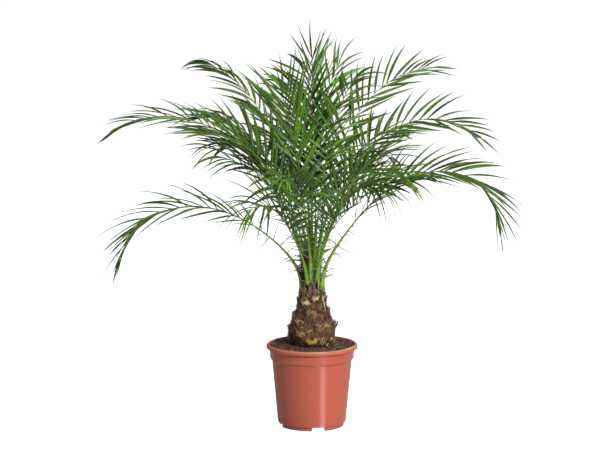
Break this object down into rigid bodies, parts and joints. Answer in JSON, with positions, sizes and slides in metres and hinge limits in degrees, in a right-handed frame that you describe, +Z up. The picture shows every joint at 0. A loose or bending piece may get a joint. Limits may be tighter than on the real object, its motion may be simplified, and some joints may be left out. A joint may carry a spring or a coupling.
{
  "type": "potted palm",
  "caption": "Young pygmy date palm with a swollen stubbly trunk and a wide crown of arching feather fronds, in a round plastic nursery pot that stands on its own foot.",
  "frame": {"origin": "centre of the pot's flat underside, which stands on the floor", "axes": "+Z is up along the pot's axis and the trunk. The side that the picture shows faces -Y, and +X is to the viewer's right"},
  "size_m": [0.8852, 0.7568, 0.8496],
  "materials": {
    "pot_plastic": "satin",
    "potting_soil": "matte",
    "trunk_fibre": "matte",
    "palm_leaf": "matte"
  },
  "bodies": {
    "root": {"frond_back_high": "palm_leaf", "frond_back_left_low": "palm_leaf", "frond_back_left_low_tip": "palm_leaf", "frond_back_left_mid": "palm_leaf", "frond_back_left_mid_tip": "palm_leaf", "frond_back_low": "palm_leaf", "frond_back_low_tip": "palm_leaf", "frond_back_mid": "palm_leaf", "frond_back_mid_tip": "palm_leaf", "frond_back_right_high": "palm_leaf", "frond_back_right_low": "palm_leaf", "frond_back_right_low_tip": "palm_leaf", "frond_back_right_mid": "palm_leaf", "frond_back_right_mid_tip": "palm_leaf", "frond_front_left_high": "palm_leaf", "frond_front_left_low": "palm_leaf", "frond_front_left_low_tip": "palm_leaf", "frond_front_left_mid": "palm_leaf", "frond_front_left_mid_tip": "palm_leaf", "frond_front_low": "palm_leaf", "frond_front_low_tip": "palm_leaf", "frond_front_mid": "palm_leaf", "frond_front_mid_tip": "palm_leaf", "frond_front_right_high": "palm_leaf", "frond_front_right_mid": "palm_leaf", "frond_front_right_mid_tip": "palm_leaf", "frond_left_high": "palm_leaf", "frond_left_inner": "palm_leaf", "frond_left_low": "palm_leaf", "frond_left_low_tip": "palm_leaf", "frond_left_mid": "palm_leaf", "frond_left_mid_tip": "palm_leaf", "frond_right_high": "palm_leaf", "frond_right_high_tip": "palm_leaf", "frond_right_inner": "palm_leaf", "frond_right_low": "palm_leaf", "frond_right_low_tip": "palm_leaf", "frond_right_mid": "palm_leaf", "frond_right_mid_tip": "palm_leaf", "frond_top": "palm_leaf", "pot": "pot_plastic", "soil": "potting_soil", "trunk": "trunk_fibre"}
  },
  "joints": []
}
